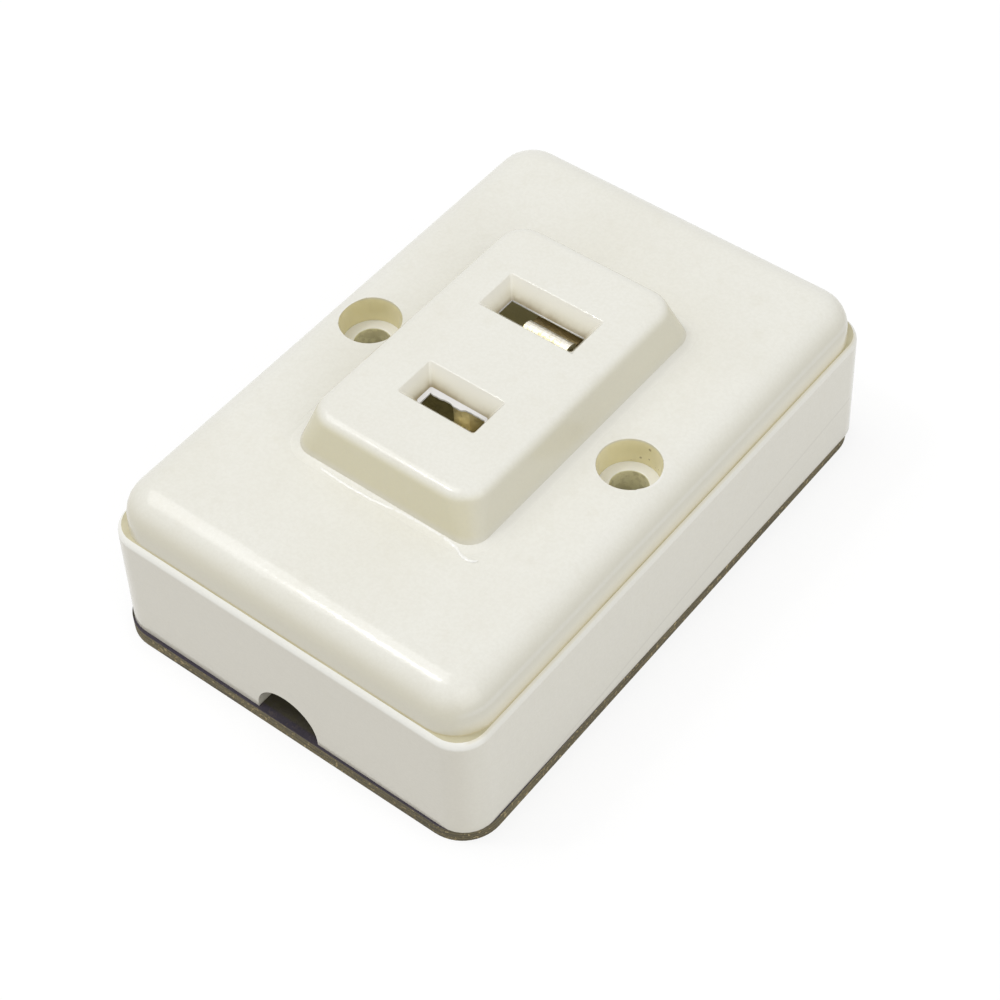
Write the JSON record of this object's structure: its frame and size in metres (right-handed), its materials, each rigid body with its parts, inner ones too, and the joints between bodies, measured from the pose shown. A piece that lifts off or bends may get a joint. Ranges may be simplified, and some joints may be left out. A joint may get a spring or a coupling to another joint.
{
  "type": "surface mounted socket",
  "caption": "Surface mounted two-pole socket: drafted cream cover with a raised pin block, counterbored wall screw holes, a cable notch and a dark fibre back plate.",
  "frame": {"origin": "centre of the cover's foot on the wall face of the back plate", "axes": "+Z away from the wall, +Y along the long side away from the cable entry, +X along the short side through the two wall screw holes"},
  "size_m": [0.0509, 0.0748, 0.0278],
  "materials": {
    "cover_plastic": "semi-gloss cream moulding, slightly yellowed",
    "back_fibre": "dull dark brown pressed fibre",
    "plated_steel": "zinc plated",
    "contact_brass": "rolled strip, slightly tarnished",
    "screw_brass": "turned"
  },
  "bodies": {
    "root": {"cover": "cover_plastic", "back_plate": "back_fibre", "plate_screw_far": "plated_steel", "plate_screw_near": "plated_steel", "wide_jaw": "contact_brass", "narrow_jaw": "contact_brass", "wide_leaf": "contact_brass", "narrow_leaf": "contact_brass", "wide_fixing_screw": "screw_brass", "narrow_fixing_screw": "screw_brass", "wide_terminal_screw": "screw_brass", "narrow_terminal_screw": "screw_brass", "wide_clamp_washer": "plated_steel", "narrow_clamp_washer": "plated_steel"}
  },
  "joints": []
}
